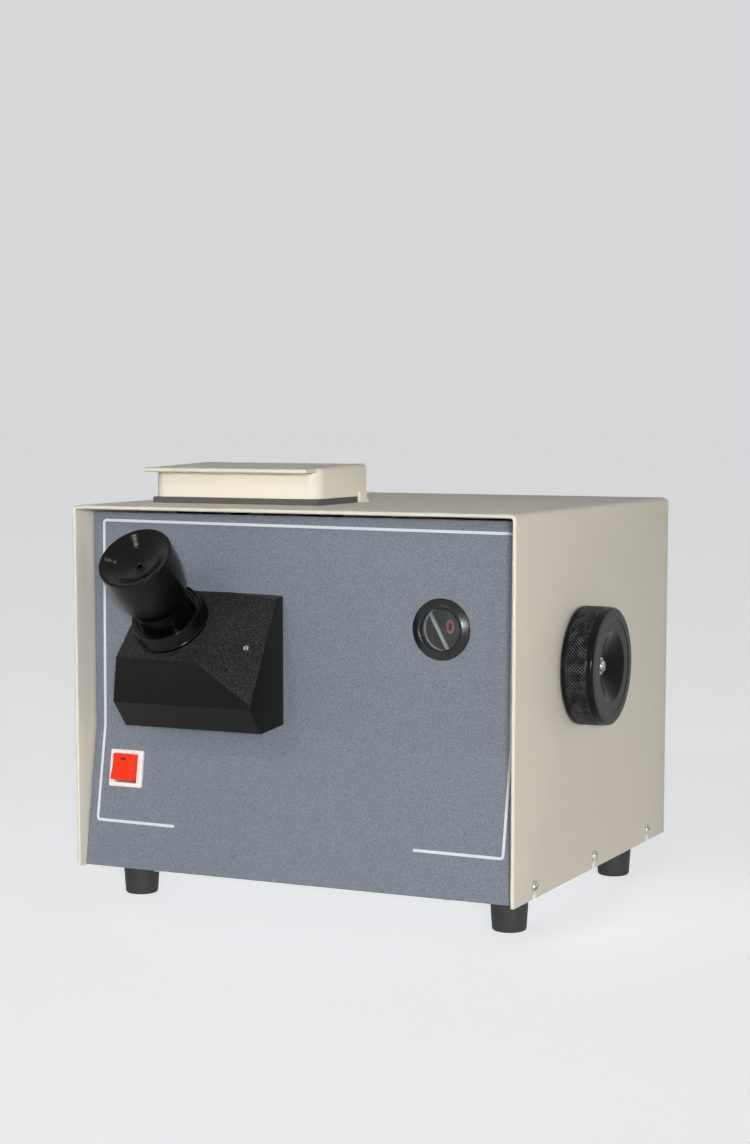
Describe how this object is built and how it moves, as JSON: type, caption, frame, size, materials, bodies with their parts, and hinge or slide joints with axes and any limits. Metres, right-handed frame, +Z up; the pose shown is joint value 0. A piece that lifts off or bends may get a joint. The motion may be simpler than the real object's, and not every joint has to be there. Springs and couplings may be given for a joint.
{
  "type": "benchtop colorimeter",
  "caption": "Benchtop visual colorimeter: folded case, angled eyepiece, number window, handwheel-turned colour disc, rocker switch and a hinged lid over the sample wells.",
  "frame": {"origin": "on the bench, under the middle of the whole outline", "axes": "+X to the right as the user faces the panel, +Y away from the user, +Z up"},
  "size_m": [0.3902, 0.4004, 0.3335],
  "materials": {
    "casing_paint": "fine powder coat",
    "panel_paint": "speckled powder coat",
    "plate_steel": "zinc plated",
    "screw_steel": "zinc plated, bright",
    "shaft_steel": "ground",
    "foot_rubber": "matt",
    "black_casting": "wrinkle finish",
    "black_metal": "black anodised",
    "black_bakelite": "polished",
    "black_plastic": "moulded",
    "white_plastic": "moulded",
    "orange_plastic": "translucent moulding",
    "gasket_foam": "open foam",
    "clear_glass": "polished",
    "opal_glass": "milky",
    "daylight_glass": "blue",
    "colour_glass": "polished, pale yellow to dark red-brown",
    "ceramic": "glazed",
    "gear_brass": "cut teeth"
  },
  "bodies": {
    "base": {"casing": "casing_paint", "casing_screws": "screw_steel", "base_plate": "plate_steel", "feet": "foot_rubber", "foot_screws": "screw_steel", "foot_nuts": "screw_steel", "front_panel": "panel_paint", "rear_panel": "casing_paint", "panel_screws": "screw_steel", "window_ring": "black_metal", "window_glass": "clear_glass", "window_nut": "black_metal", "number_index": "shaft_steel", "switch_body": "white_plastic", "eyepiece_housing": "black_casting", "housing_screws": "screw_steel", "collar": "black_metal", "collar_screw": "screw_steel", "deviation_prism": "clear_glass", "rhomboid_prism": "clear_glass", "prism_carrier": "black_metal", "lid_gasket": "gasket_foam", "hinge_ears": "casing_paint", "hinge_pins": "screw_steel", "well_stand": "black_metal", "sample_well": "black_metal", "reference_well": "black_metal", "shaft_brackets": "plate_steel", "shaft_bushes": "gear_brass", "disc_bearings": "shaft_steel", "bearing_post": "black_casting", "lamp_house": "plate_steel", "lamp_holder": "ceramic", "lamp_bracket": "plate_steel", "lamp_bulb": "opal_glass", "filter_frame": "black_metal", "opal_glass": "opal_glass", "daylight_glass": "daylight_glass", "mains_inlet": "black_plastic", "inlet_pins": "shaft_steel", "fuse_holder": "black_plastic", "fuse_cap": "black_plastic"},
    "lid": {"lid": "casing_paint"},
    "rocker": {"rocker": "orange_plastic"},
    "lens_cell": {"lens_cell": "black_metal", "eye_lens": "clear_glass"},
    "eyecup": {"eyecup": "black_bakelite"},
    "wheel": {"handwheel": "black_bakelite", "wheel_screw": "screw_steel", "wheel_shaft": "shaft_steel", "bevel_pinion": "shaft_steel", "shaft_collars": "shaft_steel"},
    "disc": {"colour_disc": "black_metal", "colour_glasses": "colour_glass", "disc_hub": "shaft_steel", "disc_axle": "shaft_steel", "bevel_gear": "gear_brass"}
  },
  "joints": [
    {"name": "lid_hinge", "type": "hinge", "parent": "base", "child": "lid", "pos_m": [-0.08965, 0.01566, 0.3084], "axis": [-1, 0, 0], "range_deg": [0, 90]},
    {"name": "disc_turn", "type": "hinge", "parent": "base", "child": "disc", "pos_m": [0.0176, -0.08984, 0.188], "axis": [0, 1, 0], "continuous": true},
    {"name": "wheel_turn", "type": "hinge", "parent": "base", "child": "wheel", "pos_m": [0.1716, -0.00924, 0.188], "axis": [1, 0, 0], "continuous": true},
    {"name": "rocker_tilt", "type": "hinge", "parent": "base", "child": "rocker", "pos_m": [-0.1588, -0.10962, 0.10278], "axis": [1, 0, 0], "range_deg": [0, 14]},
    {"name": "focus_travel", "type": "slide", "parent": "base", "child": "lens_cell", "axis": [0, -0.7071, 0.7071], "range_m": [-0.003, 0.003]},
    {"name": "focus_turn", "type": "hinge", "parent": "lens_cell", "child": "eyecup", "pos_m": [-0.10815, -0.12918, 0.21816], "axis": [0, -0.7071, 0.7071], "range_deg": [-180, 180]}
  ],
  "couplings": [
    {"joint": "wheel_turn", "follows": "disc_turn", "ratio": 1},
    {"joint": "focus_turn", "follows": "focus_travel", "rad_per_m": 1047}
  ]
}
